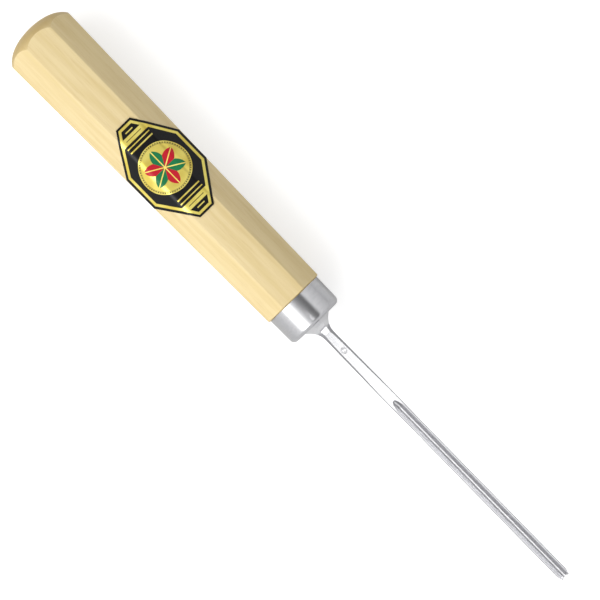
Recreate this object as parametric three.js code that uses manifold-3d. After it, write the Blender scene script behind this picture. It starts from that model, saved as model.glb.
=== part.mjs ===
// A V parting tool for woodcarving: an octagonal wooden handle, a drawn steel ferrule, a forged
// blade with its tang, and a foil label. Millimetres. The tool lies along X with the cutting edge
// at +X, the V opens upwards (+Z), and the frame's origin is under the middle of its length.
// Inside the group, x = 0 is the handle's shoulder, where the ferrule starts, on the tool's axis.
import * as THREE from "three";
import { mergeVertices } from "three/addons/utils/BufferGeometryUtils.js";
import Module from "manifold-3d";

// Handle
const handleLength = 129.7; // butt to shoulder
const buttAcross = 27; // across the flats, where the taper starts
const woodProud = 0.65; // how far each flat stands above the ferrule at the shoulder
const shoulderEase = 0.5; // small chamfer on the wood's edge at the ferrule
const domeDepth = 10; // length over which the butt is rounded
const crownFlatness = 0.7; // share of the corner radius over which the crown stays nearly flat
const domeShoulder = 0.375; // where along its depth the rounding turns in to the sides
const rimSpread = 1.03; // the rounding ends just outside the corners

// Ferrule
const ferruleDiameter = 22.1; // at its open end
const ferruleDraft = 0.1; // how much its radius shrinks towards the front
const ferruleLength = 11.4;
const ferruleWall = 1;
const ferruleFillet = 1.9; // outer edge of the front face

// Blade
const bladeReach = 122.5; // ferrule face to cutting edge
const tangLength = 60; // ferrule face to the tang's end
const tangWidth = 5.2; // square tang at the ferrule face
const tangTipWidth = 2.4;
const bolsterDiameter = 11.9;
const bolsterLength = 3.6; // length of the flare
const neckDiameter = 4.2;
const shankFlat = 3.1; // width of the flat top behind the groove
const shankWidth = 4.6;
const shankDepth = 4.3;
const topHeight = 1.9; // flat top and rims above the tool's axis

// V channel
const grooveStart = 38; // ferrule face to the groove's run-out
const grooveRamp = 4.6; // length of the run-out
const shankLead = 12.7; // the forged shank starts to change shape this far behind the groove
const channelLead = 9.2; // and is the full channel this far along it
const cornerDepth = 0.15; // share of the channel's depth that is squared off at its corners
const grooveOpening = 3; // between the rims
const vAngle = 55; // degrees between the inner walls
const wallThickness = 0.6;
const keelRound = 0.4; // flattening under the outer V
const bevelAngle = 15; // degrees, ground outside the walls
const edgeLand = 0.05; // steel left at the cutting edge

// Label
const labelCentre = 67.6; // from the butt
const labelLength = 40.8;
const labelWidth = 24.8; // seen from above
const labelEndEdge = 6.4; // short edge at each end
const labelSideEdge = 13.4; // straight edge on each side
const labelThickness = 0.15;
const labelGap = 0.1; // between the foil and the wood

const seatClearance = 0.3; // around the tenon and the tang
const roundSegments = 48;
const curveSteps = 12; // along the butt's rounding
const filletSteps = 6; // round a quarter circle
const overrun = 2; // how far a cutter passes the steel or wood it cuts

const shoulderAcross = ferruleDiameter + 2 * woodProud;
const toRadians = THREE.MathUtils.degToRad;

const manifold = await Module();
manifold.setup();

function toSolid(geometry) {
  const bare = geometry.index ? geometry.toNonIndexed() : geometry;
  bare.deleteAttribute("normal");
  bare.deleteAttribute("uv");
  const merged = mergeVertices(bare, 1e-5);
  return new manifold.Manifold(
    new manifold.Mesh({
      numProp: 3,
      vertProperties: merged.attributes.position.array,
      triVerts: new Uint32Array(merged.index.array),
    }),
  );
}

function toGeometry(solid) {
  const { vertProperties, triVerts } = solid.getMesh();
  const geometry = new THREE.BufferGeometry();
  geometry.setAttribute("position", new THREE.BufferAttribute(vertProperties, 3));
  geometry.setIndex(new THREE.BufferAttribute(triVerts, 1));
  const flat = geometry.toNonIndexed();
  flat.computeVertexNormals();
  return flat;
}

function namedMesh(name, solid, surface) {
  const mesh = new THREE.Mesh(toGeometry(solid), new THREE.MeshStandardMaterial(surface));
  mesh.name = name;
  return mesh;
}

// Turns a closed profile of [x, radius] points around the tool's axis.
function turned(profile) {
  const points = profile.map(([x, radius]) => new THREE.Vector2(radius, x));
  const lathe = new THREE.LatheGeometry(points, roundSegments);
  return toSolid(lathe.rotateZ(-Math.PI / 2));
}

// A straight tapered bar with flat sides, from its width across the flats at each end.
function taperedBar(sides, startX, startAcross, endX, endAcross) {
  const toCorner = 0.5 / Math.cos(Math.PI / sides);
  const length = endX - startX;
  const bar = new THREE.CylinderGeometry(endAcross * toCorner, startAcross * toCorner, length, sides);
  bar.rotateY(Math.PI / sides).rotateZ(-Math.PI / 2);
  return toSolid(bar.translate((startX + endX) / 2, 0, 0));
}

// Joins sections of [y, z] points, all with the same number of points, into one closed body.
function loft(stations) {
  const ring = stations[0].section.length;
  const positions = stations.flatMap(({ x, section }) => section.flatMap(([y, z]) => [x, y, z]));
  const faces = [];
  for (let station = 0; station < stations.length - 1; station++) {
    for (let i = 0; i < ring; i++) {
      const a = station * ring + i;
      const b = station * ring + ((i + 1) % ring);
      faces.push(a, b, b + ring, a, b + ring, a + ring);
    }
  }
  const last = (stations.length - 1) * ring;
  for (let i = 1; i < ring - 1; i++) {
    faces.push(0, i + 1, i);
    faces.push(last, last + i, last + i + 1);
  }
  const geometry = new THREE.BufferGeometry();
  geometry.setAttribute("position", new THREE.Float32BufferAttribute(positions, 3));
  geometry.setIndex(faces);
  return toSolid(geometry);
}

// Across the handle's flats at x; the taper runs on under the ferrule.
function acrossAt(x) {
  return shoulderAcross + ((shoulderAcross - buttAcross) * x) / handleLength;
}

function octagonalBar(startX, endX, grow = 0) {
  return taperedBar(8, startX, acrossAt(startX) + 2 * grow, endX, acrossAt(endX) + 2 * grow);
}

// The square tang, or with grow the hole for it.
function tang(grow, endX) {
  const tipX = ferruleLength - tangLength;
  const slope = (tangWidth - tangTipWidth) / tangLength;
  const widthAt = (x) => tangTipWidth + slope * (x - tipX) + 2 * grow;
  return taperedBar(4, tipX - grow, widthAt(tipX - grow), endX, widthAt(endX));
}

// The butt's rounding, turned from a low crown out past the octagon's corners.
function makeDome() {
  const cornerRadius = buttAcross / 2 / Math.cos(Math.PI / 8);
  const rim = cornerRadius * rimSpread;
  const curve = new THREE.CubicBezierCurve(
    new THREE.Vector2(-handleLength, 0),
    new THREE.Vector2(-handleLength, cornerRadius * crownFlatness),
    new THREE.Vector2(-handleLength + domeDepth * domeShoulder, (cornerRadius + rim) / 2),
    new THREE.Vector2(-handleLength + domeDepth, rim),
  );
  const crown = curve.getPoints(curveSteps).map(({ x, y }) => [x, y]);
  return turned([...crown, [0, rim], [0, 0]]);
}

function makeHandle() {
  const tenonEnd = ferruleLength - ferruleWall - seatClearance;
  const tenonRadius = ferruleDiameter / 2 - ferruleDraft - ferruleWall - seatClearance;
  const edgeAcross = shoulderAcross - 2 * shoulderEase;
  const easing = taperedBar(8, -handleLength, edgeAcross + 2 * handleLength, 0, edgeAcross);
  const tenon = turned([[-overrun, 0], [-overrun, tenonRadius], [tenonEnd, tenonRadius], [tenonEnd, 0]]);
  return octagonalBar(-handleLength, 0)
    .intersect(makeDome())
    .intersect(easing)
    .add(tenon)
    .subtract(tang(seatClearance, tenonEnd + overrun));
}

function makeFerrule() {
  const backRadius = ferruleDiameter / 2;
  const frontRadius = backRadius - ferruleDraft;
  const holeRadius = tangWidth / Math.SQRT2 + seatClearance;
  const innerFace = ferruleLength - ferruleWall;
  const openRing = bolsterDiameter / 2 + seatClearance; // the front face is bare outside this radius
  const fillet = Math.min(ferruleFillet, frontRadius - openRing);
  const edge = [];
  for (let i = 0; i <= filletSteps; i++) {
    const angle = (i / filletSteps) * (Math.PI / 2);
    edge.push([
      ferruleLength - fillet * (1 - Math.sin(angle)),
      frontRadius - fillet * (1 - Math.cos(angle)),
    ]);
  }
  const profile = [
    [0, backRadius],
    ...edge,
    [ferruleLength, openRing],
    [ferruleLength, holeRadius],
    [innerFace, holeRadius],
    [innerFace, frontRadius - ferruleWall],
    [0, backRadius - ferruleWall],
    [0, backRadius],
  ];
  return turned(profile);
}

// The flare that bears on the ferrule: a quarter ellipse from its foot in to the neck.
function makeBolster() {
  const footRadius = bolsterDiameter / 2;
  const neckRadius = neckDiameter / 2;
  const flare = [];
  for (let i = 0; i <= filletSteps; i++) {
    const angle = (i / filletSteps) * (Math.PI / 2);
    flare.push([
      ferruleLength + bolsterLength * (1 - Math.cos(angle)),
      footRadius - (footRadius - neckRadius) * Math.sin(angle),
    ]);
  }
  return turned([[ferruleLength, 0], ...flare, [ferruleLength + bolsterLength, 0]]);
}

// Half sections are listed from the flat top down; this closes them about the tool's middle plane.
function mirrored(half) {
  const left = half.map(([y, z]) => [-y, z]).reverse();
  return [...half, ...left].reverse();
}

function shankSection(flat) {
  const chamfer = (shankWidth - flat) / 2;
  const bottom = topHeight - shankDepth;
  return mirrored([
    [flat / 2, topHeight],
    [shankWidth / 2, topHeight - chamfer],
    [shankWidth / 2, bottom + shankWidth / 4],
    [shankWidth / 4, bottom],
  ]);
}

function makeBladeBar() {
  const slope = Math.tan(toRadians(vAngle / 2));
  const rimWidth = wallThickness / Math.cos(toRadians(vAngle / 2));
  const outerHalf = grooveOpening / 2 + rimWidth;
  const outerAt = (depth) => [outerHalf - depth * slope, topHeight - depth];
  const keelDepth = (outerHalf - keelRound / 2) / slope;
  const channelSection = mirrored([
    [outerHalf, topHeight],
    outerAt(keelDepth * cornerDepth),
    outerAt(keelDepth * (1 - cornerDepth)),
    outerAt(keelDepth),
  ]);
  const grooveX = ferruleLength + grooveStart;
  return loft([
    { x: ferruleLength + bolsterLength / 2, section: shankSection(shankFlat) },
    { x: grooveX - shankLead, section: shankSection(shankFlat) },
    { x: grooveX + channelLead, section: channelSection },
    { x: ferruleLength + bladeReach, section: channelSection },
  ]);
}

// The V cutter rises out of the flat top over the length of the run-out.
function makeGrooveCutter() {
  const slope = Math.tan(toRadians(vAngle / 2));
  const fullDepth = grooveOpening / 2 / slope;
  const lid = topHeight + overrun;
  const cutSection = (depth) => [
    [0, topHeight - depth],
    [-(depth + overrun) * slope, lid],
    [(depth + overrun) * slope, lid],
  ];
  const startX = ferruleLength + grooveStart;
  return loft([
    { x: startX, section: cutSection(0) },
    { x: startX + grooveRamp, section: cutSection(fullDepth) },
    { x: ferruleLength + bladeReach + overrun, section: cutSection(fullDepth) },
  ]);
}

// Takes the steel off outside one wall, at the bevel angle, back from the cutting edge.
function makeBevelCutter(side) {
  const halfAngle = toRadians(vAngle / 2);
  const bevel = toRadians(bevelAngle);
  const wallUp = new THREE.Vector3(0, side * Math.sin(halfAngle), Math.cos(halfAngle));
  const wallOut = new THREE.Vector3(0, side * Math.cos(halfAngle), -Math.sin(halfAngle));
  const forward = new THREE.Vector3(Math.cos(bevel), 0, 0).addScaledVector(wallOut, -Math.sin(bevel));
  const outward = new THREE.Vector3().crossVectors(forward, wallUp).multiplyScalar(-side);
  const size = bladeReach / 4;
  const root = new THREE.Vector3(
    ferruleLength + bladeReach,
    0,
    topHeight - grooveOpening / 2 / Math.tan(halfAngle),
  );
  const place = new THREE.Matrix4()
    .makeBasis(forward, wallUp.clone().multiplyScalar(-side), outward)
    .setPosition(root.addScaledVector(wallOut, edgeLand).addScaledVector(outward, size / 2));
  return toSolid(new THREE.BoxGeometry(size, size, size).applyMatrix4(place));
}

function makeBlade() {
  return tang(0, ferruleLength + bolsterLength / 2)
    .add(makeBolster())
    .add(makeBladeBar())
    .subtract(makeGrooveCutter())
    .subtract(makeBevelCutter(1))
    .subtract(makeBevelCutter(-1));
}

function makeLabel() {
  const outline = new THREE.Shape();
  const [length, width] = [labelLength / 2, labelWidth / 2];
  const [endEdge, sideEdge] = [labelEndEdge / 2, labelSideEdge / 2];
  outline.moveTo(length, -endEdge);
  outline.lineTo(length, endEdge);
  outline.lineTo(sideEdge, width);
  outline.lineTo(-sideEdge, width);
  outline.lineTo(-length, endEdge);
  outline.lineTo(-length, -endEdge);
  outline.lineTo(-sideEdge, -width);
  outline.lineTo(sideEdge, -width);
  const stamp = new THREE.ExtrudeGeometry(outline, { depth: buttAcross, bevelEnabled: false });
  stamp.translate(labelCentre - handleLength, 0, 0);
  const startX = labelCentre - handleLength - length - overrun;
  const endX = labelCentre - handleLength + length + overrun;
  return octagonalBar(startX, endX, labelGap + labelThickness)
    .subtract(octagonalBar(startX - overrun, endX + overrun, labelGap))
    .intersect(toSolid(stamp));
}

const tool = new THREE.Group();
tool.add(
  namedMesh("handle", makeHandle(), { color: 0xe7d19b, roughness: 0.55, metalness: 0 }),
  namedMesh("ferrule", makeFerrule(), { color: 0xb4b4b4, roughness: 0.3, metalness: 1 }),
  namedMesh("blade", makeBlade(), { color: 0xdcdcdc, roughness: 0.15, metalness: 1 }),
  namedMesh("label", makeLabel(), { color: 0x16161a, roughness: 0.2, metalness: 0.2 }),
);

const bounds = new THREE.Box3().setFromObject(tool, true);
tool.position.set(-(bounds.min.x + bounds.max.x) / 2, 0, -bounds.min.z);

export default tool;
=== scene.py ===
# A woodcarver's V parting tool, lying on a pale sweep with the V and the label upwards
import bpy
import math
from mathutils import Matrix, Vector


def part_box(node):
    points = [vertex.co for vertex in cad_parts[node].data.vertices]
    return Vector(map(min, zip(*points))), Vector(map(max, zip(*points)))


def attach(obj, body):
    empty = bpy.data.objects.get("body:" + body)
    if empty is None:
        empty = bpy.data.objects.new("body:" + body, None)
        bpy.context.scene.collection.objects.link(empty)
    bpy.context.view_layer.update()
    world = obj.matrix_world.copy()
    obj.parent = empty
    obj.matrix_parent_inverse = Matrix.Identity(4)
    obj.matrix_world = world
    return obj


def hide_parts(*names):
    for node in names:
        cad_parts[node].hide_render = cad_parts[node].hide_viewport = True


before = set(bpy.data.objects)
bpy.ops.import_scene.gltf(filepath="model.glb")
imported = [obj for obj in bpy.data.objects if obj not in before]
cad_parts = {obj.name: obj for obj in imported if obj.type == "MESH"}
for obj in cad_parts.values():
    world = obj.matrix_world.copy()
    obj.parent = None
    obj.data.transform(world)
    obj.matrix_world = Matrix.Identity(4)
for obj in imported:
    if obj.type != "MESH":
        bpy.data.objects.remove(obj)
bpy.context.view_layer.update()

mm = 0.001
snap = 0.001 * mm  # places closer than this count as one
ferruleLow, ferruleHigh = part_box("ferrule")
labelLow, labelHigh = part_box("label")
axisHeight = (ferruleLow.z + ferruleHigh.z) / 2  # the tool's own axis lies along X at this height
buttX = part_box("handle")[0].x
shoulderX = ferruleLow.x  # where the wood meets the ferrule
ferruleFaceX = ferruleHigh.x
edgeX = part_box("blade")[1].x  # the cutting edge
octagonHalf = math.radians(22.5)  # turn from the middle of an octagon's flat to its corner
cornerShare = math.tan(octagonHalf)  # half a flat's width for each unit of half the size across flats
print("frame loaded, tool axis at", round(axisHeight / mm, 2), "mm")


def clearSelection():
    bpy.ops.object.select_all(action="DESELECT")


def pick(piece):
    clearSelection()
    piece.select_set(True)
    bpy.context.view_layer.objects.active = piece


def objectMode():
    bpy.ops.object.mode_set(mode="OBJECT")


def editAll(piece):
    pick(piece)
    bpy.ops.object.mode_set(mode="EDIT")
    bpy.ops.mesh.select_all(action="SELECT")


def selectWhere(piece, what, test):
    # what is "vertices", "edges" or "polygons"; test gets each one and says if it is wanted
    selectMode = {"vertices": "VERT", "edges": "EDGE", "polygons": "FACE"}[what]
    pick(piece)
    bpy.ops.object.mode_set(mode="EDIT")
    bpy.ops.mesh.select_mode(type=selectMode)
    bpy.ops.mesh.select_all(action="DESELECT")
    objectMode()
    for item in getattr(piece.data, what):
        item.select = test(item)
    bpy.ops.object.mode_set(mode="EDIT")


def tidyMesh(piece):
    editAll(piece)
    bpy.ops.mesh.remove_doubles(threshold=snap)
    bpy.ops.mesh.normals_make_consistent(inside=False)
    objectMode()


def planeCut(piece, place, across, cutAway=False):
    # cutAway drops what lies on the side that across points to, and closes the cut
    editAll(piece)
    bpy.ops.mesh.bisect(plane_co=place, plane_no=across, use_fill=cutAway, clear_outer=cutAway)
    objectMode()


def applyModifier(piece, kind, **settings):
    pick(piece)
    modifier = piece.modifiers.new(kind.lower(), kind)
    for key, value in settings.items():
        setattr(modifier, key, value)
    bpy.ops.object.modifier_apply(modifier=modifier.name)


def combine(piece, other, how):
    # how is UNION, DIFFERENCE or INTERSECT; the other shape is used up
    applyModifier(piece, "BOOLEAN", object=other, operation=how, solver="EXACT")
    bpy.data.objects.remove(other, do_unlink=True)


def smoothShade(piece, degrees):
    pick(piece)
    bpy.ops.object.shade_smooth_by_angle(angle=math.radians(degrees))


def mix(a, b, t):
    return a + (b - a) * t


def easeInOut(t):
    return t * t * (3 - 2 * t)


def arc(centreX, centreR, radius, fromDegrees, toDegrees, steps):
    # points (x, r) round a corner of a turned profile
    points = []
    for i in range(steps + 1):
        a = math.radians(mix(fromDegrees, toDegrees, i / steps))
        points.append((centreX + radius * math.cos(a), centreR + radius * math.sin(a)))
    return points


def bezier(p0, p1, p2, p3, steps):
    points = []
    for i in range(steps + 1):
        t = i / steps
        a = (1 - t) ** 3
        b = 3 * (1 - t) ** 2 * t
        c = 3 * (1 - t) * t ** 2
        d = t ** 3
        points.append((a * p0[0] + b * p1[0] + c * p2[0] + d * p3[0],
                       a * p0[1] + b * p1[1] + c * p2[1] + d * p3[1]))
    return points


def turnProfile(name, outline, closed, steps):
    # spins points (x, r) round the tool's axis; an open outline starts and ends on the axis
    clearSelection()
    bpy.ops.mesh.primitive_circle_add(vertices=len(outline), radius=mm, location=(0, 0, 0))
    piece = bpy.context.object
    piece.name = name
    for vertex, (x, r) in zip(piece.data.vertices, outline):
        vertex.co = (x, 0, axisHeight + r)
    if not closed:
        ends = {0, len(outline) - 1}
        selectWhere(piece, "edges", lambda edge: set(edge.vertices) == ends)
        bpy.ops.mesh.delete(type="EDGE")
        objectMode()
    editAll(piece)
    bpy.ops.mesh.spin(steps=steps, angle=math.tau, center=(0, 0, axisHeight), axis=(1, 0, 0))
    objectMode()
    tidyMesh(piece)
    return piece


def loftRings(name, rings):
    # rings are (x, [(y, z), ...]) with z from the tool's axis: the first is filled, and each
    # next one is extruded from the last and its corners moved to their places
    firstX, firstCorners = rings[0]
    clearSelection()
    bpy.ops.mesh.primitive_circle_add(vertices=len(firstCorners), fill_type="NGON", location=(0, 0, 0))
    piece = bpy.context.object
    piece.name = name
    places = [Vector((firstX, y, axisHeight + z)) for y, z in firstCorners]
    for vertex, place in zip(piece.data.vertices, places):
        vertex.co = place
    bpy.ops.object.mode_set(mode="EDIT")
    bpy.ops.mesh.select_mode(type="VERT")
    bpy.ops.mesh.select_all(action="SELECT")
    for x, corners in rings[1:]:
        bpy.ops.mesh.extrude_region_move(TRANSFORM_OT_translate={"value": (0, 0, 0)})
        objectMode()
        following = [Vector((x, y, axisHeight + z)) for y, z in corners]
        for vertex in [v for v in piece.data.vertices if v.select]:
            nearest = min(range(len(places)), key=lambda k: (places[k] - vertex.co).length_squared)
            vertex.co = following[nearest]
        places = following
        bpy.ops.object.mode_set(mode="EDIT")
    objectMode()
    tidyMesh(piece)
    return piece


def narrowRing(bar, x, share):
    # scales the ring of corners at x about the tool's axis
    selectWhere(bar, "vertices", lambda v: abs(v.co.x - x) < snap)
    bpy.ops.transform.resize(value=(1, share, share), center_override=(x, 0, axisHeight))
    objectMode()


def taperedBar(name, sides, x0, across0, x1, across1, turn):
    # a bar along the tool's axis, from across0 over its flats at x0 to across1 at x1
    toCorner = 0.5 / math.cos(math.pi / sides)
    clearSelection()
    bpy.ops.mesh.primitive_cylinder_add(
        vertices=sides, radius=across0 * toCorner, depth=x1 - x0,
        location=((x0 + x1) / 2, 0, axisHeight), rotation=(0, math.radians(90), 0))
    bar = bpy.context.object
    bar.name = name
    bpy.ops.object.transform_apply(location=True, rotation=True, scale=True)
    editAll(bar)
    bpy.ops.transform.rotate(value=turn, orient_axis="X", center_override=(0, 0, axisHeight))
    objectMode()
    narrowRing(bar, x1, across1 / across0)
    return bar


# The handle is an octagonal stick of pale hardwood with a turned butt and a tenon
handle = {
    "buttAcross": 27.0 * mm,
    "shoulderAcross": 23.4 * mm,
    "creaseRound": 0.36 * mm,  # planed corners, eased with fine paper
    "creaseSteps": 4,
    "domeLength": 10 * mm,
    "crownFlatness": 0.7,  # how far the crown stays flat before it turns down
    "domeShoulder": 0.375,
    "domeBelly": 1.01,
    "domeSteps": 22,
    "rimSpread": 1.03,  # the turned shape clears the corners, so its rim scallops the facets
    "domeEdgeRound": 0.25 * mm,
    "sandedFrom": 17,  # degrees; edges sharper than this are sanded round
    "turningSteps": 120,
    "shoulderEase": 0.45 * mm,
    "easeSteps": 6,
    "tenonRadius": 9.6 * mm,
    "tenonLength": 10.1 * mm,
    "tenonRoot": 2 * mm,  # how deep the tenon is made into the stick
    "boreWidth": 5.8 * mm,  # hole for the tang, at the tenon's end
    "boreTip": 3.0 * mm,
    "boreDepth": 49 * mm,  # behind the shoulder
}
clear = 1 * mm  # how far a cutting or joining shape runs past where it has to reach
longEdge = 10 * mm  # an edge that covers more than this along X runs along the tool


def acrossAt(x):
    # distance across the flats; the taper runs the whole length
    t = (x - buttX) / (shoulderX - buttX)
    return mix(handle["buttAcross"], handle["shoulderAcross"], t)


def isLong(piece, edge):
    a, b = [piece.data.vertices[i].co for i in edge.vertices]
    return abs(a.x - b.x) > longEdge


def easeShoulder(wood):
    # the front end is rounded over on a quarter circle
    ease = handle["shoulderEase"]
    rings = []
    for i in range(handle["easeSteps"] + 1):
        a = math.radians(90 * i / handle["easeSteps"])
        x = shoulderX - ease * (1 - math.sin(a))
        share = 1 - 2 * ease * (1 - math.cos(a)) / acrossAt(shoulderX)
        rings.append((x, share))
    for ring in rings[:-1]:
        planeCut(wood, (ring[0], 0, axisHeight), (1, 0, 0))
    for x, share in rings:
        narrowRing(wood, x, share)


def buildHandle():
    start = buttX - clear  # the turning takes the bar back to the butt
    wood = taperedBar("handleWood", 8, start, acrossAt(start), shoulderX, acrossAt(shoulderX), octagonHalf)
    selectWhere(wood, "edges", lambda edge: isLong(wood, edge))
    bpy.ops.mesh.bevel(offset=handle["creaseRound"], segments=handle["creaseSteps"], profile=0.5)
    objectMode()
    easeShoulder(wood)

    # the butt is turned: low crown, rounded rim
    corner = handle["buttAcross"] / 2 / math.cos(octagonHalf)
    rim = corner * handle["rimSpread"]
    rimX = buttX + handle["domeLength"]
    dome = bezier((buttX, 0), (buttX, corner * handle["crownFlatness"]),
                  (buttX + handle["domeLength"] * handle["domeShoulder"], corner * handle["domeBelly"]),
                  (rimX, rim), handle["domeSteps"])
    past = shoulderX + clear
    turned = turnProfile("turnedShape", dome + [(past, rim), (past, 0)], closed=False,
                         steps=handle["turningSteps"])
    combine(wood, turned, "INTERSECT")

    tenonStart = shoulderX - handle["tenonRoot"]
    tenonEnd = shoulderX + handle["tenonLength"]
    radius = handle["tenonRadius"]
    outline = [(tenonStart, 0), (tenonStart, radius), (tenonEnd, radius), (tenonEnd, 0)]
    tenon = turnProfile("tenon", outline, closed=False, steps=handle["turningSteps"])
    combine(wood, tenon, "UNION")

    # burnt-in hole for the tang
    hole = taperedBar("tangHole", 4, shoulderX - handle["boreDepth"], handle["boreTip"],
                      tenonEnd + clear, handle["boreWidth"], 2 * octagonHalf)
    combine(wood, hole, "DIFFERENCE")
    tidyMesh(wood)
    # the sharp edge where the turned butt meets the flats is sanded
    applyModifier(wood, "BEVEL", width=handle["domeEdgeRound"], segments=3, limit_method="ANGLE",
                  angle_limit=math.radians(handle["sandedFrom"]), use_clamp_overlap=True)
    return wood


woodPiece = buildHandle()
print("handle built:", len(woodPiece.data.polygons), "faces")


# The ferrule is a drawn steel cap
ferrule = {
    "wall": 1.0 * mm,
    "draft": 0.1 * mm,  # smaller at the front
    "frontRound": 1.9 * mm,
    "rearRound": 0.12 * mm,
    "holeRadius": 3.9 * mm,
    "holeRound": 0.2 * mm,
    "turningSteps": 160,
}


def buildFerrule():
    backR = (ferruleHigh.z - ferruleLow.z) / 2
    frontR = backR - ferrule["draft"]
    front, rear = ferrule["frontRound"], ferrule["rearRound"]
    wall, hole, lip = ferrule["wall"], ferrule["holeRadius"], ferrule["holeRound"]
    outline = arc(shoulderX + rear, backR - rear, rear, 180, 90, steps=3)
    outline += arc(ferruleFaceX - front, frontR - front, front, 90, 0, steps=14)
    outline += arc(ferruleFaceX - lip, hole + lip, lip, 0, -90, steps=4)
    innerX = ferruleFaceX - wall
    outline += [(innerX, hole), (innerX, frontR - wall), (shoulderX, backR - wall)]
    return turnProfile("ferruleCap", outline, closed=True, steps=ferrule["turningSteps"])


ferrulePiece = buildFerrule()
print("ferrule built:", len(ferrulePiece.data.polygons), "faces")


# The blade is one forging: bolster, neck, shank and V channel, with a tang in the wood
blade = {
    "footRadius": 5.75 * mm,  # octagonal bolster where it bears on the ferrule
    "neckRadius": 2.1 * mm,
    "flareLength": 6.2 * mm,
    "flareCurve": 2.2,
    "flareStep": 0.45 * mm,
    "edgeRound": 0.16 * mm,  # forged edges
    "forgedFrom": 24,  # degrees; edges sharper than this are forged round
    "facetStart": 3.1 * mm,  # the neck's flat upper facet, from the ferrule's face
    "facetGap": 0.1 * mm,  # the flare's rings stop this far short of it
    "facetRise": (0.24 * mm, 0.03 * mm),  # above the ground top, at its two ends
    "facetHalf": (1.4 * mm, 1.08 * mm),  # half its width, at its two ends
    "facetSteps": 4,
    "facetDrop": 0.5 * mm,  # from the facet down to the next corner, at least
    "groundStart": 5.2 * mm,  # where the ground flat top begins
    "top": 1.9 * mm,  # ground top above the tool's axis
    "grindDepth": 0.12 * mm,
    "wheelRound": 5.5 * mm,  # the ground flat's back end
    # from the ferrule's face: how far along, half the flat top, half the whole width
    "shank": ((7.0, 1.15, 2.08), (9.0, 1.28, 2.1), (12.0, 1.38, 2.12), (24.0, 1.56, 2.18),
              (32.0, 1.78, 2.22)),
    "shankEnd": (1.82, 2.22),
    "sideSteepness": 1.6,
    "shankBottom": -2.3 * mm,
    "shankChamfer": 1.15 * mm,
    "grooveStart": 37.6 * mm,
    "channelStart": 33.6 * mm,  # the shank turns into the channel from here
    "channelFull": 51.6 * mm,  # to here
    "channelSteps": 8,
    "runOut": 4.6 * mm,  # length over which the groove comes up to full depth
    "runOutSteps": 14,
    "halfOpening": 1.5 * mm,
    "halfAngle": 27.5,  # of the V, in degrees
    "rootRound": 0.25 * mm,
    "rootFlat": 0.4 * mm,
    "rim": 0.69 * mm,
    "rimChamfer": (0.4 * mm, 0.3 * mm),  # across and down
    "keelHalf": 0.22 * mm,
    "keelCorner": 0.9,  # a pair of corners lies this share of the way down the outside walls
    "edgeBevel": 15,  # degrees, ground outside the walls
    "edgeLand": 0.03 * mm,  # left flat at the cutting edge
    "tangWidth": 5.2 * mm,
    "tangTip": 2.4 * mm,
    "tangLength": 60 * mm,
    "stampX": 13.45 * mm,
    "stampRadius": 1.05 * mm,
    "dotRadius": 0.4725 * mm,
    "ringWire": 0.06 * mm,  # half the width of the struck line
    "dotWire": 0.05 * mm,
}
wallSlope = math.tan(math.radians(blade["halfAngle"]))
# how deep the walls reach if they meet the root flat unrounded, and how much rounding lifts the root
wallDepth = (blade["halfOpening"] - blade["rootFlat"] / 2) / wallSlope
rootRise = blade["rootRound"] / math.sin(math.radians(blade["halfAngle"])) - blade["rootRound"]


def fromHalf(half):
    # half is listed from the flat top down one side; the other side mirrors it
    return half + [(-y, z) for y, z in reversed(half)]


def flareRadius(x):
    t = max(0.0, 1 - x / blade["flareLength"])
    return mix(blade["neckRadius"], blade["footRadius"], t ** blade["flareCurve"])


def octagonSection(radius, top, halfTop):
    side = radius * cornerShare
    upper = min(side, top - blade["facetDrop"])
    return fromHalf([(halfTop, top), (radius, upper), (radius, -side), (side, -radius)])


def shankSection(halfTop, wide):
    top = blade["top"] + blade["grindDepth"]
    low, corner = blade["shankBottom"], blade["shankChamfer"]
    drop = (wide - halfTop) * blade["sideSteepness"]
    return fromHalf([(halfTop, top), (wide, top - drop), (wide, low + corner), (corner, low)])


def channelSection():
    outer = blade["halfOpening"] + blade["rim"]
    keel = (outer - blade["keelHalf"]) / wallSlope
    across, down = blade["rimChamfer"]
    half = [(outer - across, blade["top"] + blade["grindDepth"]), (outer, blade["top"] - down)]
    for share in (blade["keelCorner"], 1.0):
        half.append((outer - share * keel * wallSlope, blade["top"] - share * keel))
    return fromHalf(half)


def bladeRings():
    rings = []
    flareRings = math.ceil((blade["facetStart"] - blade["facetGap"]) / blade["flareStep"])
    for i in range(flareRings):
        x = i * blade["flareStep"]
        r = flareRadius(x)
        rings.append((ferruleFaceX + x, octagonSection(r, r, r * cornerShare)))
    # the neck's own flat facet slopes down to the ground top
    for i in range(blade["facetSteps"] + 1):
        t = i / blade["facetSteps"]
        x = mix(blade["facetStart"], blade["groundStart"], t)
        top = blade["top"] + mix(*blade["facetRise"], t)
        rings.append((ferruleFaceX + x, octagonSection(flareRadius(x), top, mix(*blade["facetHalf"], t))))
    for x, halfTop, wide in blade["shank"]:
        rings.append((ferruleFaceX + x * mm, shankSection(halfTop * mm, wide * mm)))
    halfTop, wide = blade["shankEnd"]
    shankEnd = shankSection(halfTop * mm, wide * mm)
    channel = channelSection()
    for i in range(blade["channelSteps"] + 1):
        along = i / blade["channelSteps"]
        t = easeInOut(along)
        section = [(mix(a[0], b[0], t), mix(a[1], b[1], t)) for a, b in zip(shankEnd, channel)]
        rings.append((ferruleFaceX + mix(blade["channelStart"], blade["channelFull"], along), section))
    rings.append((edgeX, channel))
    return rings


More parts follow.
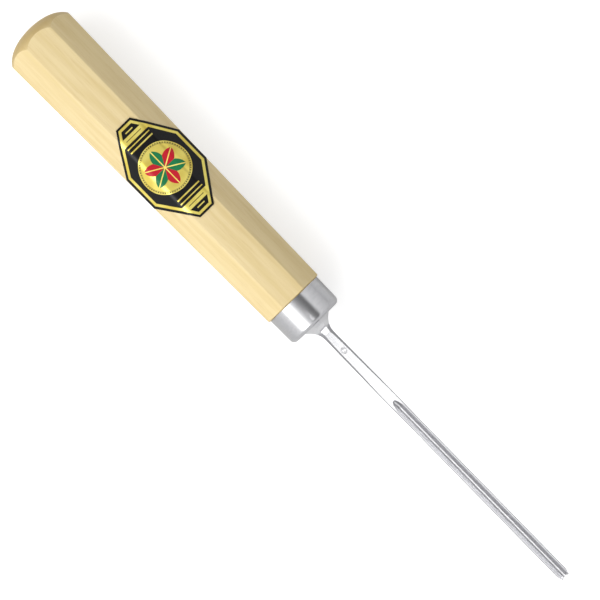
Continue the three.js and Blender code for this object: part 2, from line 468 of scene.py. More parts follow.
def softenForging(steel):
    # forged edges are round, but the edges of the flats ground later stay crisp
    backOfFlats = ferruleFaceX + blade["facetStart"] - blade["facetGap"]

    def ground(edge):
        ends = [steel.data.vertices[i].co for i in edge.vertices]
        return all(p.z > axisHeight + blade["top"] and p.x > backOfFlats for p in ends)
    selectWhere(steel, "edges", lambda edge: False)
    bpy.ops.mesh.edges_select_sharp(sharpness=math.radians(blade["forgedFrom"]))
    objectMode()
    sharp = {edge.index for edge in steel.data.edges if edge.select and not ground(edge)}
    selectWhere(steel, "edges", lambda edge: edge.index in sharp)
    bpy.ops.mesh.bevel(offset=blade["edgeRound"], segments=3, profile=0.5, clamp_overlap=True)
    objectMode()


def grooveCutter():
    lid = blade["top"] + 3 * clear  # well above the ground top
    radius, halfFlat, half = blade["rootRound"], blade["rootFlat"] / 2, blade["halfAngle"]

    def section(depth):
        apex = blade["top"] - depth
        wall = [((lid - apex) * wallSlope + halfFlat, lid)]
        return fromHalf(wall + arc(halfFlat, apex + rootRise + radius, radius, -half, -90, steps=3))

    rings = []
    startX = ferruleFaceX + blade["grooveStart"]
    # the groove comes up from its root on a quarter of an ellipse
    for i in range(blade["runOutSteps"] + 1):
        s = (i / blade["runOutSteps"]) ** 2
        depth = mix(-rootRise, wallDepth, math.sqrt(1 - (1 - s) ** 2))
        rings.append((startX + s * blade["runOut"], section(depth)))
    rings.append((edgeX + 2 * clear, section(wallDepth)))
    return loftRings("grooveCutter", rings)


def grindTop(steel):
    # one long pass that leaves the flat top, its back end rounded by the wheel
    startX = ferruleFaceX + blade["groundStart"]
    length = edgeX + 3 * clear - startX
    wide, high = 12 * mm, 4 * mm
    clearSelection()
    bpy.ops.mesh.primitive_cube_add(
        size=1, location=(startX + length / 2, 0, axisHeight + blade["top"] + high / 2))
    slab = bpy.context.object
    slab.scale = (length, wide, high)
    bpy.ops.object.transform_apply(location=True, rotation=True, scale=True)

    def backCorner(edge):
        a, b = [slab.data.vertices[i].co for i in edge.vertices]
        return max(a.x, b.x) < startX + clear and abs(a.z - b.z) > clear
    selectWhere(slab, "edges", backCorner)
    bpy.ops.mesh.bevel(offset=blade["wheelRound"], segments=16, profile=0.5)
    objectMode()
    combine(steel, slab, "DIFFERENCE")


def bevelEdge(steel):
    # the outside bevel: a plane along each wall and one under the root, meeting the cutting edge
    half = math.radians(blade["halfAngle"])
    grind = math.radians(blade["edgeBevel"])
    planes = [(Vector((0, 0, -1)), wallDepth - rootRise)]
    for side in (1, -1):
        wallOut = Vector((0, side * math.cos(half), -math.sin(half)))
        planes.append((wallOut, blade["halfOpening"] / wallSlope))
    for outwards, depth in planes:
        planeOut = (outwards * math.cos(grind) + Vector((1, 0, 0)) * math.sin(grind)).normalized()
        onEdge = Vector((edgeX, 0, axisHeight + blade["top"] - depth))
        planeCut(steel, onEdge + outwards * blade["edgeLand"], planeOut, cutAway=True)


def stampMark(steel):
    # a plain ring and dot, struck into the flat top
    place = (ferruleFaceX + blade["stampX"], 0, axisHeight + blade["top"])
    for radius, wire in ((blade["stampRadius"], blade["ringWire"]), (blade["dotRadius"], blade["dotWire"])):
        clearSelection()
        bpy.ops.mesh.primitive_torus_add(location=place, major_radius=radius, minor_radius=wire,
                                         major_segments=40, minor_segments=8)
        die = bpy.context.object
        bpy.ops.object.transform_apply(location=True, rotation=True, scale=True)
        combine(steel, die, "DIFFERENCE")


def buildBlade():
    steel = loftRings("bladeSteel", bladeRings())
    softenForging(steel)
    grindTop(steel)
    combine(steel, grooveCutter(), "DIFFERENCE")
    stampMark(steel)
    bevelEdge(steel)
    tang = taperedBar("tang", 4, ferruleFaceX - blade["tangLength"], blade["tangTip"],
                      ferruleFaceX + clear, blade["tangWidth"], 2 * octagonHalf)
    combine(steel, tang, "UNION")
    tidyMesh(steel)
    return steel


bladePiece = buildBlade()
print("blade built:", len(bladePiece.data.polygons), "faces")


# The label is a foil sticker folded over three facets
label = {
    "halfLength": (labelHigh.x - labelLow.x) / 2,
    "halfWidth": (labelHigh.y - labelLow.y) / 2,
    "endHalf": 3.2 * mm,
    "sideHalf": 6.7 * mm,
    "thickness": 0.16 * mm,
    "lift": 0.11 * mm,  # glue line
    "foldRound": 1.3 * mm,
    "foldSteps": 7,
}
labelX = (labelLow.x + labelHigh.x) / 2


def creaseAt(x):
    return acrossAt(x) / 2 * cornerShare


def labelOutline():
    # an octagon with long slanting sides, about the label's middle
    quarter = [(label["halfLength"], label["endHalf"]), (label["sideHalf"], label["halfWidth"])]
    half = quarter + [(-x, y) for x, y in reversed(quarter)]
    return half + [(x, -y) for x, y in reversed(half)]


def buildLabel():
    outline = labelOutline()
    clearSelection()
    bpy.ops.mesh.primitive_circle_add(vertices=len(outline), fill_type="NGON", location=(0, 0, 0))
    foil = bpy.context.object
    foil.name = "labelFoil"
    for vertex, (x, y) in zip(foil.data.vertices, outline):
        vertex.co = (labelX + x, y, 0)
    slope = (creaseAt(shoulderX) - creaseAt(buttX)) / (shoulderX - buttX)
    for hand in (1, -1):
        planeCut(foil, (labelX, hand * creaseAt(labelX), 0), (-hand * slope, 1, 0))
    for vertex in foil.data.vertices:  # lay it on the facets
        x = vertex.co.x
        beyond = max(0.0, abs(vertex.co.y) - creaseAt(x))
        vertex.co.z = axisHeight + acrossAt(x) / 2 + label["lift"] - beyond

    def onCrease(edge):
        ends = [foil.data.vertices[i].co for i in edge.vertices]
        return isLong(foil, edge) and all(abs(abs(p.y) - creaseAt(p.x)) < 10 * snap for p in ends)
    selectWhere(foil, "edges", onCrease)
    bpy.ops.mesh.bevel(offset=label["foldRound"], segments=label["foldSteps"], profile=0.5)
    objectMode()
    tidyMesh(foil)
    if foil.data.polygons[0].normal.z < 0:
        editAll(foil)
        bpy.ops.mesh.flip_normals()
        objectMode()
    applyModifier(foil, "SOLIDIFY", thickness=label["thickness"], offset=1, use_even_offset=True)
    return foil


labelPiece = buildLabel()
print("label built:", len(labelPiece.data.polygons), "faces")


def newMaterial(name):
    material = bpy.data.materials.new(name)
    material.use_nodes = True
    tree = material.node_tree
    return material, tree, tree.nodes["Principled BSDF"]


def plug(tree, socket, value):
    # value is another node's output, or a plain number or colour
    if isinstance(value, bpy.types.NodeSocket):
        tree.links.new(value, socket)
    else:
        socket.default_value = value


def add(tree, kind, inputs=None, **settings):
    node = tree.nodes.new(kind)
    for key, value in settings.items():
        setattr(node, key, value)
    for key, value in (inputs or {}).items():
        plug(tree, node.inputs[key], value)
    return node


def maths(tree, operation, *values):
    node = add(tree, "ShaderNodeMath", operation=operation)
    for socket, value in zip(node.inputs, values):
        plug(tree, socket, value)
    return node.outputs[0]


def times(tree, a, b):
    return maths(tree, "MULTIPLY", a, b)


def blendColour(tree, factor, a, b):
    # a colour Mix node takes its two colours at inputs 6 and 7 and gives the result at output 2
    node = add(tree, "ShaderNodeMix", {0: factor}, data_type="RGBA")
    plug(tree, node.inputs[6], a)
    plug(tree, node.inputs[7], b)
    return node.outputs[2]


def span(tree, value, low, high, toLow=0.0, toHigh=1.0):
    # value between low and high becomes toLow to toHigh, smoothly
    ends = {"From Min": low, "From Max": high, "To Min": toLow, "To Max": toHigh, "Value": value}
    return add(tree, "ShaderNodeMapRange", ends, interpolation_type="SMOOTHSTEP").outputs["Result"]


def fade(tree, value, low, high):
    # 1 under low, 0 over high
    return span(tree, value, low, high, 1.0, 0.0)


def split(tree, vector):
    parts = add(tree, "ShaderNodeSeparateXYZ", {"Vector": vector})
    return parts.outputs["X"], parts.outputs["Y"], parts.outputs["Z"]


def noiseNode(tree, vector, scale, detail, roughness=0.5):
    settings = {"Vector": vector, "Scale": scale, "Detail": detail, "Roughness": roughness}
    return add(tree, "ShaderNodeTexNoise", settings).outputs["Fac"]


def colour(red, green, blue):
    # screen values 0 to 255
    def toLinear(c):
        c /= 255
        return c / 12.92 if c <= 0.04045 else ((c + 0.055) / 1.055) ** 2.4
    return (toLinear(red), toLinear(green), toLinear(blue), 1)


def newGroup(name, inputs, outputs):
    # inputs and outputs are {socket name: Vector or Float}
    group = bpy.data.node_groups.new(name, "ShaderNodeTree")
    for side, sockets in (("INPUT", inputs), ("OUTPUT", outputs)):
        for socketName, kind in sockets.items():
            group.interface.new_socket(socketName, in_out=side, socket_type="NodeSocket" + kind)
    source = group.nodes.new("NodeGroupInput")
    sink = group.nodes.new("NodeGroupOutput")
    return group, source.outputs, sink.inputs


def makeStreakGroup():
    # long fine streaks: grain in wood, drawing and grinding lines in steel
    inputs = {"Vector": "Vector", "Stretch": "Vector", "Fineness": "Float"}
    group, given, result = newGroup("streaks", inputs, {"Streak": "Float", "Cloud": "Float"})
    stretched = add(group, "ShaderNodeVectorMath", {0: given["Vector"], 1: given["Stretch"]},
                    operation="MULTIPLY").outputs[0]
    fine = noiseNode(group, stretched, given["Fineness"], detail=5.0, roughness=0.62)
    broadScale = times(group, given["Fineness"], 0.18)  # the clouds are broader than the streaks
    group.links.new(fine, result["Streak"])
    group.links.new(noiseNode(group, stretched, broadScale, detail=2.0), result["Cloud"])
    return group


def makeWearAndHighlightGroup():
    # a mask that is 1 on outside edges, broken up by noise
    inputs = {"Vector": "Vector", "Radius": "Float", "Breaks": "Float"}
    group, given, result = newGroup("edgeWearAndHighlight", inputs, {"WearAndHighlight": "Float"})
    softened = add(group, "ShaderNodeBevel", {"Radius": given["Radius"]}, samples=4).outputs["Normal"]
    plain = add(group, "ShaderNodeNewGeometry").outputs["True Normal"]
    agree = add(group, "ShaderNodeVectorMath", {0: softened, 1: plain}, operation="DOT_PRODUCT")
    edge = fade(group, agree.outputs["Value"], 0.93, 0.995)  # where the two normals part
    patches = noiseNode(group, given["Vector"], given["Breaks"], detail=3.0)
    broken = times(group, edge, span(group, patches, 0.36, 0.6))
    group.links.new(broken, result["WearAndHighlight"])
    return group


streaks = makeStreakGroup()
edgeWearAndHighlight = makeWearAndHighlightGroup()


def streakNode(tree, vector, stretch, fineness):
    # stretch is along the tool, across it and up; a small number draws the streaks out that way
    node = add(tree, "ShaderNodeGroup", node_tree=streaks)
    plug(tree, node.inputs["Vector"], vector)
    plug(tree, node.inputs["Stretch"], stretch)
    plug(tree, node.inputs["Fineness"], fineness)
    return node.outputs


def wearAndHighlightNode(tree, vector, radius, breaks):
    # radius in millimetres, breaks in patches for each millimetre; on the wood these patches are wear and a
    # painted highlight
    node = add(tree, "ShaderNodeGroup", node_tree=edgeWearAndHighlight)
    plug(tree, node.inputs["Vector"], vector)
    plug(tree, node.inputs["Radius"], radius * mm)
    plug(tree, node.inputs["Breaks"], breaks)
    return node.outputs["WearAndHighlight"]


def objectPlace(tree, centre):
    # object coordinates in millimetres, counted from centre
    source = add(tree, "ShaderNodeTexCoord")
    mapping = add(tree, "ShaderNodeMapping", {"Vector": source.outputs["Object"]}, vector_type="POINT")
    mapping.inputs["Scale"].default_value = (1 / mm, 1 / mm, 1 / mm)
    mapping.inputs["Location"].default_value = [-c / mm for c in centre]
    return mapping.outputs["Vector"]


def setRoughness(tree, shader, streak, look):
    # roughness swings about its middle value with the streaks
    middle, swing = look["roughness"], look["roughSwing"]
    rough = maths(tree, "MULTIPLY_ADD", streak, swing, middle - swing / 2)
    tree.links.new(rough, shader.inputs["Roughness"])
    return rough


def setRelief(tree, shader, height, look):
    strength, depth = look["relief"]
    bump = add(tree, "ShaderNodeBump", {"Strength": strength, "Distance": depth * mm, "Height": height})
    tree.links.new(bump.outputs["Normal"], shader.inputs["Normal"])


woodLook = {
    "pale": colour(212, 193, 146),
    "warm": colour(205, 184, 133),
    "line": colour(184, 155, 106),
    # pale edge colour: wear, and a painted highlight where the key light glints on the creases
    "wornAndHighlight": colour(232, 215, 176),
    "endGrain": colour(176, 150, 90),
    "grain": ((0.06, 1.0, 1.0), 2.2),  # stretch and fineness
    "fibres": ((0.12, 3.2, 3.2), 2.0),
    "wobble": ((0.02, 0.12, 0.12), 1.0),
    "ringWobble": 9.0,
    "ringSlant": (0.9, 0.42),  # the rings are crossed by going this much across the tool, this much up
    "ringRate": 1.9,  # radians of the wave for each millimetre
    # a noise or wave goes from none to full between the two values of its span
    "cloudSpan": (0.35, 0.65),
    "grainSpan": (0.5, 0.75),
    "fleckSpan": (0.62, 0.72),
    "ringSpan": (0.7, 1.0),
    "poreSpan": (0.5, 0.7),
    "endSpan": (0.15, 0.75),  # how squarely a face looks along the tool
    "grainAmount": 0.3,
    "ringAmount": 0.08,
    "fleckAmount": 0.3,
    "poreAmount": 0.4,
    "poreScale": 3.4,
    "wearAndHighlight": (0.5, 0.9),  # millimetres in from an edge, and patches for each millimetre
    "wornAndHighlightAmount": 0.6,
    "endAmount": 0.85,
    "roughness": 0.5,
    "roughSwing": 0.16,
    "relief": (0.12, 0.1),  # strength, and depth in millimetres
    "fibreRelief": 0.6,
    "coat": 0.12,
    "coatRoughness": 0.35,
}


def growthRings(tree, place):
    # the stick was cut well away from the heart of the tree, so its rings are nearly flat
    wobble = streakNode(tree, place, *woodLook["wobble"])["Streak"]
    y, z = split(tree, place)[1:]
    shareY, shareZ = woodLook["ringSlant"]
    across = maths(tree, "MULTIPLY_ADD", y, shareY, times(tree, z, shareZ))
    even = times(tree, across, woodLook["ringRate"])
    phase = maths(tree, "MULTIPLY_ADD", wobble, woodLook["ringWobble"], even)
    wave = maths(tree, "MULTIPLY_ADD", maths(tree, "SINE", phase), 0.5, 0.5)
    return span(tree, wave, *woodLook["ringSpan"])


def makeWood():
    material, tree, shader = newMaterial("paleHardwood")
    place = objectPlace(tree, (0, 0, axisHeight))
    line = woodLook["line"]
    grain = streakNode(tree, place, *woodLook["grain"])
    fibres = streakNode(tree, place, *woodLook["fibres"])
    clouds = span(tree, grain["Cloud"], *woodLook["cloudSpan"])
    tone = blendColour(tree, clouds, woodLook["pale"], woodLook["warm"])
    grainLines = span(tree, grain["Streak"], *woodLook["grainSpan"])
    tone = blendColour(tree, times(tree, grainLines, woodLook["grainAmount"]), tone, line)
    tone = blendColour(tree, times(tree, growthRings(tree, place), woodLook["ringAmount"]), tone, line)
    flecks = span(tree, fibres["Streak"], *woodLook["fleckSpan"])
    tone = blendColour(tree, times(tree, flecks, woodLook["fleckAmount"]), tone, line)
    # paler along the edges: partly wear, partly a painted highlight where the key light glints on the
    # creases
    wornAndHighlight = wearAndHighlightNode(tree, place, *woodLook["wearAndHighlight"])
    tone = blendColour(tree, times(tree, wornAndHighlight, woodLook["wornAndHighlightAmount"]), tone, woodLook["wornAndHighlight"])
    # end grain shows on the domed butt
    normal = add(tree, "ShaderNodeNewGeometry").outputs["Normal"]
    facingX = maths(tree, "ABSOLUTE", split(tree, normal)[0])
    endOn = span(tree, facingX, *woodLook["endSpan"])
    pores = noiseNode(tree, place, woodLook["poreScale"], detail=3.0)
    poreTone = span(tree, pores, *woodLook["poreSpan"], 0.0, woodLook["poreAmount"])
    endTone = blendColour(tree, poreTone, woodLook["endGrain"], line)
    tone = blendColour(tree, times(tree, endOn, woodLook["endAmount"]), tone, endTone)
    tree.links.new(tone, shader.inputs["Base Color"])
    setRoughness(tree, shader, grain["Streak"], woodLook)
    height = maths(tree, "MULTIPLY_ADD", fibres["Streak"], woodLook["fibreRelief"], grain["Streak"])
    setRelief(tree, shader, height, woodLook)
    shader.inputs["Coat Weight"].default_value = woodLook["coat"]
    shader.inputs["Coat Roughness"].default_value = woodLook["coatRoughness"]
    return material


ferruleLook = {
    "tone": colour(206, 206, 208),
    "lineTone": colour(190, 190, 193),
    "wornAndHighlight": colour(228, 228, 230),
    "lines": ((6.0, 0.25, 0.25), 1.5),  # drawing lines run round the cap
    "lineSpan": (0.3, 0.7),
    "smudgeScale": 0.22,
    "smudgeRough": 0.08,
    "wearAndHighlight": (0.3, 0.6),
    "wornAndHighlightAmount": 0.5,
    "roughness": 0.18,
    "roughSwing": 0.12,
    "relief": (0.06, 0.05),
}


def makeFerruleSteel():
    material, tree, shader = newMaterial("drawnSteel")
    place = objectPlace(tree, (shoulderX, 0, axisHeight))
    lines = streakNode(tree, place, *ferruleLook["lines"])["Streak"]
    lineMask = span(tree, lines, *ferruleLook["lineSpan"])
    tone = blendColour(tree, lineMask, ferruleLook["tone"], ferruleLook["lineTone"])
    wornAndHighlight = wearAndHighlightNode(tree, place, *ferruleLook["wearAndHighlight"])
    tone = blendColour(tree, times(tree, wornAndHighlight, ferruleLook["wornAndHighlightAmount"]), tone, ferruleLook["wornAndHighlight"])
    tree.links.new(tone, shader.inputs["Base Color"])
    rough = setRoughness(tree, shader, lines, ferruleLook)
    smudge = noiseNode(tree, place, ferruleLook["smudgeScale"], detail=3.0)
    rough = maths(tree, "MULTIPLY_ADD", smudge, ferruleLook["smudgeRough"], rough)
    tree.links.new(rough, shader.inputs["Roughness"])
    setRelief(tree, shader, lines, ferruleLook)
    shader.inputs["Metallic"].default_value = 1
    return material


bladeLook = {
    "tone": colour(230, 230, 232),
    "lineTone": colour(220, 220, 222),
    # painted shade on the walls of the V
    "wallShadeTone": colour(172, 172, 176),
    # painted shade at the foot of the -Y wall
    "footShadeTone": colour(150, 150, 154),
    # painted shade on the rims beside the groove
    "rimShadeTone": colour(190, 190, 193),
    "sideTone": colour(150, 150, 154),
    "stampTone": colour(186, 186, 188),
    "lines": ((0.05, 9.0, 9.0), 1.2),  # grinding lines run along the blade
    "lineSpan": (0.35, 0.7),
    "steepSpan": (0.72, 0.88),  # how far up a face looks: under this it counts as a side
    "overhangSpan": (-0.2, 0.2),
    "wallShadeAmount": 0.1,
    "footShadeAmount": 0.45,
    "sideAmount": 0.85,
    "stampAmount": 0.4,
    "roughness": 0.2,
    "roughSwing": 0.14,
    "stampRough": 0.1,
    "sideRough": 0.12,
    "relief": (0.03, 0.04),
    # where each tone starts and ends: a first and a last millimetre, to fade over
    "markInner": (0.5, 0.85),  # from the middle of the struck ring
    "markOuter": (1.1, 1.3),
    "grooveUnder": (0.35, 0.1),  # below the ground top
    "grooveSide": (1.45, 1.6),  # from the middle of the blade
    "wallFoot": (0.16, 0.3),
    "rimInner": (1.42, 1.55),
    "grooveBack": (37.0, 39.0),  # from the ferrule's face
    "rimBack": (38.0, 42.0),
    "sideBack": (2.9, 3.6),
    "footShadeUpper": (-1.2, -0.7),  # across the blade, on the -Y wall
    "footShadeLower": (-0.3, -0.12),
}


def struckMark(tree, place):
    middle = (blade["stampX"] / mm, 0, blade["top"] / mm)
    away = add(tree, "ShaderNodeVectorMath", {0: place, 1: middle}, operation="DISTANCE").outputs["Value"]
    return times(tree, span(tree, away, *bladeLook["markInner"]), fade(tree, away, *bladeLook["markOuter"]))


def makeBladeSteel():
    material, tree, shader = newMaterial("groundSteel")
    place = objectPlace(tree, (ferruleFaceX, 0, axisHeight))
    x, y, z = split(tree, place)
    fromMiddle = maths(tree, "ABSOLUTE", y)
    look = bladeLook
    lines = streakNode(tree, place, *look["lines"])["Streak"]
    tone = blendColour(tree, span(tree, lines, *look["lineSpan"]), look["tone"], look["lineTone"])
    # a little dirt stays in the struck mark
    inMark = struckMark(tree, place)
    tone = blendColour(tree, times(tree, inMark, look["stampAmount"]), tone, look["stampTone"])
    # painted shade: the walls of the V are darker than its root and the outside
    groundTop = blade["top"] / mm
    underTop = fade(tree, z, *[groundTop - depth for depth in look["grooveUnder"]])
    inGroove = times(tree, underTop, fade(tree, fromMiddle, *look["grooveSide"]))
    inGroove = times(tree, inGroove, span(tree, x, *look["grooveBack"]))
    shadedWall = times(tree, inGroove, span(tree, fromMiddle, *look["wallFoot"]))
    tone = blendColour(tree, times(tree, shadedWall, look["wallShadeAmount"]), tone, look["wallShadeTone"])
    # painted shade: the rims beside the groove are darker than the flat top behind it
    shadedRim = times(tree, span(tree, fromMiddle, *look["rimInner"]), span(tree, x, *look["rimBack"]))
    tone = blendColour(tree, shadedRim, tone, look["rimShadeTone"])
    # painted shade darkens the foot of the -Y wall
    footShade = times(tree, span(tree, y, *look["footShadeUpper"]), fade(tree, y, *look["footShadeLower"]))
    footShade = times(tree, footShade, inGroove)
    tone = blendColour(tree, times(tree, footShade, look["footShadeAmount"]), tone, look["footShadeTone"])
    # the shank's steep faces that look up and sideways are darker and rougher
    facingUp = split(tree, add(tree, "ShaderNodeNewGeometry").outputs["Normal"])[2]
    steep = fade(tree, facingUp, *look["steepSpan"])
    onSide = times(tree, steep, span(tree, facingUp, *look["overhangSpan"]))
    onSide = times(tree, onSide, span(tree, x, *look["sideBack"]))
    onSide = times(tree, onSide, maths(tree, "SUBTRACT", 1.0, inGroove))
    tone = blendColour(tree, times(tree, onSide, look["sideAmount"]), tone, look["sideTone"])
    tree.links.new(tone, shader.inputs["Base Color"])
    rough = setRoughness(tree, shader, lines, look)
    rough = maths(tree, "MULTIPLY_ADD", inMark, look["stampRough"], rough)
    rough = maths(tree, "MULTIPLY_ADD", onSide, look["sideRough"], rough)
    tree.links.new(rough, shader.inputs["Roughness"])
    setRelief(tree, shader, lines, look)
    shader.inputs["Metallic"].default_value = 1
    return material


labelLook = {
    "black": colour(7, 7, 9),
    "gold": colour(238, 222, 118),
    "goldDeep": colour(222, 200, 92),
    "green": colour(24, 110, 66),
    "red": colour(176, 24, 40),
    "goldMetallic": 0.8,
    "goldRoughness": 0.36,
    "inkRoughness": 0.3,
    "inkAmount": 0.85,
    "sheenScale": 0.16,
    "sheenSpan": (0.35, 0.65),
    "wrinkleScale": 0.35,
    "printRise": 0.15,
    "relief": (0.1, 0.2),
    "gloss": 0.24,
    # the print, in millimetres from the label's middle
    "softEdge": 0.06,
    "border": 0.75,  # from the outline in
    "band": 0.92,
    "crossBand": (13.9, 16.3),
    "innerRule": (11.0, 11.5),
    "outerRule": (12.6, 13.0),
    "ruleEnds": (4.9, 5.1),
    "endRule": (17.2, 17.6),
    "endRuleEnds": (1.5, 1.7),
    "crossRule": (14.95, 15.25),
    "crossRuleEnds": (3.3, 3.5),
    "discRadius": 9.2,
    "beadRing": (8.45, 8.85),
    "beadCount": 64.0,
    "beadSpan": (-0.9, -0.2),
    "fineRing": (8.23, 8.35),
    "petalReach": 7.3,
    "ribSide": (0.12, 0.24),
}


def between(tree, value, low, high):
    # 1 between two limits, with a printed line's soft edges
    soft = labelLook["softEdge"]
    over = span(tree, value, low - soft, low + soft)
    return times(tree, over, fade(tree, value, high - soft, high + soft))


def under(tree, value, limit):
    return fade(tree, value, limit - labelLook["softEdge"], limit + labelLook["softEdge"])


def lengthOf(tree, a, b):
    return maths(tree, "SQRT", maths(tree, "ADD", times(tree, a, a), times(tree, b, b)))


def largest(tree, first, *others):
    for other in others:
        first = maths(tree, "MAXIMUM", first, other)
    return first


def distanceIn(tree, absX, absY):
    # how far a point is inside the label's octagonal outline
    length, width = label["halfLength"] / mm, label["halfWidth"] / mm
    end, side = label["endHalf"] / mm, label["sideHalf"] / mm
    slant = math.hypot(length - side, width - end)
    facingX = (width - end) / slant
    facingY = (length - side) / slant
    out = maths(tree, "MULTIPLY_ADD", absX, facingX, times(tree, absY, facingY))
    toSlant = maths(tree, "SUBTRACT", facingX * length + facingY * end, out)
    toEnd = maths(tree, "SUBTRACT", length, absX)
    toSide = maths(tree, "SUBTRACT", width, absY)
    return maths(tree, "MINIMUM", toSlant, maths(tree, "MINIMUM", toEnd, toSide))


def rosette(tree, radial, angle):
    # six petals round the middle, each between two arcs that meet at the middle and at its tip
    reach = labelLook["petalReach"]
    arcRadius = reach / math.sqrt(3)
    fold = maths(tree, "PINGPONG", maths(tree, "ADD", angle, math.pi), math.pi / 6)
    along = times(tree, radial, maths(tree, "COSINE", fold))
    aside = times(tree, radial, maths(tree, "SINE", fold))
    toArcX = maths(tree, "SUBTRACT", along, reach / 2)
    toArcY = maths(tree, "ADD", aside, math.sqrt(arcRadius ** 2 - (reach / 2) ** 2))
    petal = under(tree, lengthOf(tree, toArcX, toArcY), arcRadius)
    rib = times(tree, petal, fade(tree, aside, *labelLook["ribSide"]))
    sixths = maths(tree, "DIVIDE", maths(tree, "ADD", angle, math.pi + math.pi / 6), math.pi / 3)
    oddPetal = span(tree, maths(tree, "MODULO", maths(tree, "FLOOR", sixths), 2.0), 0.4, 0.6)
    return petal, rib, oddPetal


def makeLabelFoil():
    material, tree, shader = newMaterial("printedFoil")
    place = objectPlace(tree, (labelX, 0, axisHeight))
    x, y = split(tree, place)[:2]
    absX = maths(tree, "ABSOLUTE", x)
    absY = maths(tree, "ABSOLUTE", y)
    radial = lengthOf(tree, x, y)
    angle = maths(tree, "ARCTAN2", y, x)
    look = labelLook

    inside = distanceIn(tree, absX, absY)
    bandStart = look["border"]
    withinBand = span(tree, inside, bandStart - look["softEdge"], bandStart + look["softEdge"])
    frameBand = between(tree, inside, bandStart, bandStart + look["band"])
    crossBand = times(tree, between(tree, absX, *look["crossBand"]), withinBand)
    disc = under(tree, radial, look["discRadius"])
    # plain rules where such a label carries its lines of print
    innerRule = between(tree, absX, *look["innerRule"])
    outerRule = between(tree, absX, *look["outerRule"])
    rules = times(tree, maths(tree, "ADD", innerRule, outerRule), fade(tree, absY, *look["ruleEnds"]))
    rules = times(tree, rules, maths(tree, "SUBTRACT", 1.0, disc))
    endRule = times(tree, between(tree, absX, *look["endRule"]), fade(tree, absY, *look["endRuleEnds"]))
    goldMask = times(tree, largest(tree, frameBand, crossBand, rules, endRule, disc), withinBand)

    # a ring of beads and a fine line round the disc, and a rule on each cross band
    wave = maths(tree, "SINE", times(tree, angle, look["beadCount"]))
    beads = times(tree, between(tree, radial, *look["beadRing"]), span(tree, wave, *look["beadSpan"]))
    fineRing = between(tree, radial, *look["fineRing"])
    crossRule = between(tree, absX, *look["crossRule"])
    crossRule = times(tree, crossRule, fade(tree, absY, *look["crossRuleEnds"]))
    ink = largest(tree, beads, fineRing, crossRule)
    petal, rib, oddPetal = rosette(tree, radial, angle)

    sheen = noiseNode(tree, place, look["sheenScale"], detail=1.0)
    gold = blendColour(tree, span(tree, sheen, *look["sheenSpan"]), look["gold"], look["goldDeep"])
    tone = blendColour(tree, goldMask, look["black"], gold)
    tone = blendColour(tree, times(tree, ink, look["inkAmount"]), tone, look["black"])
    tone = blendColour(tree, petal, tone, blendColour(tree, oddPetal, look["green"], look["red"]))
    tone = blendColour(tree, rib, tone, gold)
    tree.links.new(tone, shader.inputs["Base Color"])

    bare = times(tree, goldMask, maths(tree, "SUBTRACT", 1.0, largest(tree, ink, petal)))
    tree.links.new(times(tree, bare, look["goldMetallic"]), shader.inputs["Metallic"])
    duller = look["goldRoughness"] - look["inkRoughness"]
    rough = maths(tree, "MULTIPLY_ADD", bare, duller, look["inkRoughness"])
    tree.links.new(rough, shader.inputs["Roughness"])
    wrinkle = noiseNode(tree, place, look["wrinkleScale"], detail=2.0)
    height = maths(tree, "MULTIPLY_ADD", goldMask, look["printRise"], wrinkle)
    setRelief(tree, shader, height, look)
    shader.inputs["Specular IOR Level"].default_value = look["gloss"]
    return material


def finishPiece(piece, material, node, smoothUnder):
    piece.data.materials.clear()
    piece.data.materials.append(material)
    smoothShade(piece, smoothUnder)
    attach(piece, "root")
    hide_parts(node)


finishPiece(woodPiece, makeWood(), "handle", smoothUnder=22)
finishPiece(ferrulePiece, makeFerruleSteel(), "ferrule", smoothUnder=30)
finishPiece(bladePiece, makeBladeSteel(), "blade", smoothUnder=22)
finishPiece(labelPiece, makeLabelFoil(), "label", smoothUnder=30)
print("materials on")


# The tool lies on a pale sweep in soft light from the -Y side, with the camera straight above
studio = {
    "cameraDistance": 0.62,
    "viewWidth": 0.207,  # metres across the picture at the tool's axis
    "sensorWidth": 36,
    "roll": 45.63,  # the tool points down to the right
    "aimOffset": (-0.0003, 0.0013),
    "keyTilt": 43,  # degrees from straight above, on the -Y side
    "keyDistance": 1.0,
    "keySize": (1.9, 0.66),
    "keyGlow": 1.66,  # radiance, where white paper lit from above is 1
    "coreDistance": 0.98,  # a brighter core, just in front of the key
    "coreSize": (1.4, 0.15),
    "coreGlow": 4.0,
    "stripSize": (0.404, 0.12),
    "stripPlace": (0.238, 0, 1.25),
    "stripGlow": 2.4,
    "floorSize": 6,
    "floorTone": 0.62,
    "floorGlow": 0.55,
    # the surroundings: degrees from straight up towards +Y, and how bright it is there
    "surroundings": ((-180, 0.5), (-100, 0.9), (-66, 1.1), (-22, 1.2), (-10, 0.74), (0, 0.42), (29, 0.1),
                     (33, 1.1), (60, 0.9), (88, 0.7), (108, 0.3), (180, 0.3)),
    "endsLevel": 0.85,  # towards the tool's two ends
    "backdropLevel": 0.97,  # what the camera sees past the floor
}


def grey(level):
    return (level, level, level, 1)


def buildFloor():
    clearSelection()
    bpy.ops.mesh.primitive_plane_add(size=studio["floorSize"], location=(0, 0, 0))
    floor = bpy.context.object
    floor.name = "floor"
    material, tree, shader = newMaterial("palePaper")
    shader.inputs["Base Color"].default_value = grey(studio["floorTone"])
    shader.inputs["Roughness"].default_value = 0.9
    shader.inputs["Specular IOR Level"].default_value = 0.1
    # the paper looks white, but lights the tool no more than a grey one would
    seen = add(tree, "ShaderNodeLightPath").outputs["Is Camera Ray"]
    shader.inputs["Emission Color"].default_value = grey(1)
    tree.links.new(times(tree, seen, studio["floorGlow"]), shader.inputs["Emission Strength"])
    floor.data.materials.append(material)


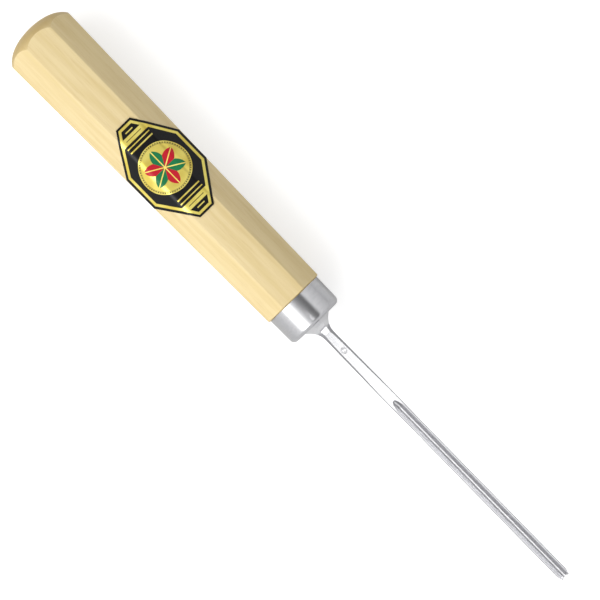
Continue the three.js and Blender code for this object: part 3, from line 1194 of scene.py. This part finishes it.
def buildWorld():
    world = bpy.data.worlds.new("studio")
    bpy.context.scene.world = world
    world.use_nodes = True
    tree = world.node_tree
    direction = add(tree, "ShaderNodeTexCoord").outputs["Generated"]
    x, y, z = split(tree, direction)
    turn = maths(tree, "DIVIDE", maths(tree, "ARCTAN2", y, z), math.tau)
    ramp = add(tree, "ShaderNodeValToRGB", {"Fac": maths(tree, "ADD", turn, 0.5)})
    stops = ramp.color_ramp.elements
    while len(stops) < len(studio["surroundings"]):
        stops.new(0.5)
    for stop, (tilt, level) in zip(stops, studio["surroundings"]):
        stop.position = tilt / 360 + 0.5
        stop.color = grey(level)
    towardsEnds = span(tree, maths(tree, "ABSOLUTE", x), 0.6, 0.9)
    around = blendColour(tree, towardsEnds, ramp.outputs["Color"], grey(studio["endsLevel"]))
    seen = add(tree, "ShaderNodeLightPath").outputs["Is Camera Ray"]
    shown = blendColour(tree, seen, around, grey(studio["backdropLevel"]))
    tree.links.new(shown, tree.nodes["Background"].inputs["Color"])


def addSoftLight(name, glow, size, place, tilt):
    lamp = bpy.data.lights.new(name, "AREA")
    lamp.shape = "RECTANGLE"
    lamp.size, lamp.size_y = size
    lamp.energy = glow * math.pi * size[0] * size[1]
    light = bpy.data.objects.new(name, lamp)
    bpy.context.scene.collection.objects.link(light)
    light.location = place
    light.rotation_euler = (math.radians(tilt), 0, 0)
    light.visible_camera = False


def tiltedPlace(distance):
    tilt = math.radians(studio["keyTilt"])
    return (0, -distance * math.sin(tilt), axisHeight + distance * math.cos(tilt))


def buildLights():
    tilt = studio["keyTilt"]
    keyPlace = tiltedPlace(studio["keyDistance"])
    addSoftLight("softKey", studio["keyGlow"], studio["keySize"], keyPlace, tilt)
    corePlace = tiltedPlace(studio["coreDistance"])
    addSoftLight("keyCore", studio["coreGlow"], studio["coreSize"], corePlace, tilt)
    # a narrow strip high over the blade end, which the ground flat top mirrors
    addSoftLight("bladeStrip", studio["stripGlow"], studio["stripSize"], studio["stripPlace"], 0)


def buildCamera():
    lens = bpy.data.cameras.new("camera")
    lens.sensor_width = studio["sensorWidth"]
    lens.lens = studio["sensorWidth"] * studio["cameraDistance"] / studio["viewWidth"]
    lens.clip_end = 20
    camera = bpy.data.objects.new("camera", lens)
    bpy.context.scene.collection.objects.link(camera)
    x, y = studio["aimOffset"]
    camera.location = (x, y, axisHeight + studio["cameraDistance"])
    camera.rotation_euler = (0, 0, math.radians(studio["roll"]))
    bpy.context.scene.camera = camera


buildFloor()
buildWorld()
buildLights()
buildCamera()
bpy.context.scene.view_settings.view_transform = "Standard"
print("stage set")
